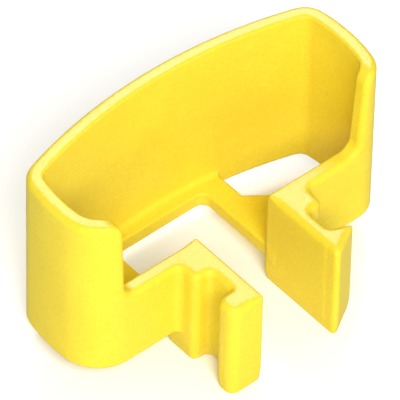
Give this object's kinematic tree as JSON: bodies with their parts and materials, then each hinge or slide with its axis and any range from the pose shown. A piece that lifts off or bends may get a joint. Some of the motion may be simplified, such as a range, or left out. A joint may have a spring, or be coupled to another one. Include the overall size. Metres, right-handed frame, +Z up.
{
  "type": "snap-in retaining clip",
  "caption": "One-piece moulded snap clip: a D-shaped bow with a wide front notch, a slotted floor and two springy jaws with outward catches.",
  "frame": {"origin": "middle of the bounding box's bottom face, level with the underside of the jaws", "axes": "+X to the right along the bow's width, +Y from the jaws to the arched back wall, +Z up from the jaws' underside to the rim"},
  "size_m": [0.0138, 0.0084, 0.0082],
  "materials": {
    "yellow_plastic": "satin moulded plastic with a fine even grain"
  },
  "bodies": {
    "frame": {"back_wall": "yellow_plastic", "left_back_corner": "yellow_plastic", "right_back_corner": "yellow_plastic", "left_side_wall": "yellow_plastic", "right_side_wall": "yellow_plastic", "left_front_corner": "yellow_plastic", "right_front_corner": "yellow_plastic", "left_front_wall": "yellow_plastic", "right_front_wall": "yellow_plastic", "left_jaw_root": "yellow_plastic", "right_jaw_root": "yellow_plastic", "back_ledge": "yellow_plastic", "left_floor_strap": "yellow_plastic", "right_floor_strap": "yellow_plastic", "right_floor_web": "yellow_plastic"},
    "left_prong": {"left_tongue": "yellow_plastic", "left_catch_block": "yellow_plastic"},
    "right_prong": {"right_tongue": "yellow_plastic", "right_catch_wedge": "yellow_plastic"}
  },
  "joints": [
    {"name": "left_jaw_flex", "type": "hinge", "parent": "frame", "child": "left_prong", "pos_m": [-0.00189, -0.00202, 0.0022], "axis": [0, 0, 1], "range_deg": [-3, 15], "stiffness_Nm_per_rad": 0.1},
    {"name": "right_jaw_flex", "type": "hinge", "parent": "frame", "child": "right_prong", "pos_m": [0.00205, -0.00202, 0.0022], "axis": [0, 0, -1], "range_deg": [-3, 15], "stiffness_Nm_per_rad": 0.1}
  ]
}
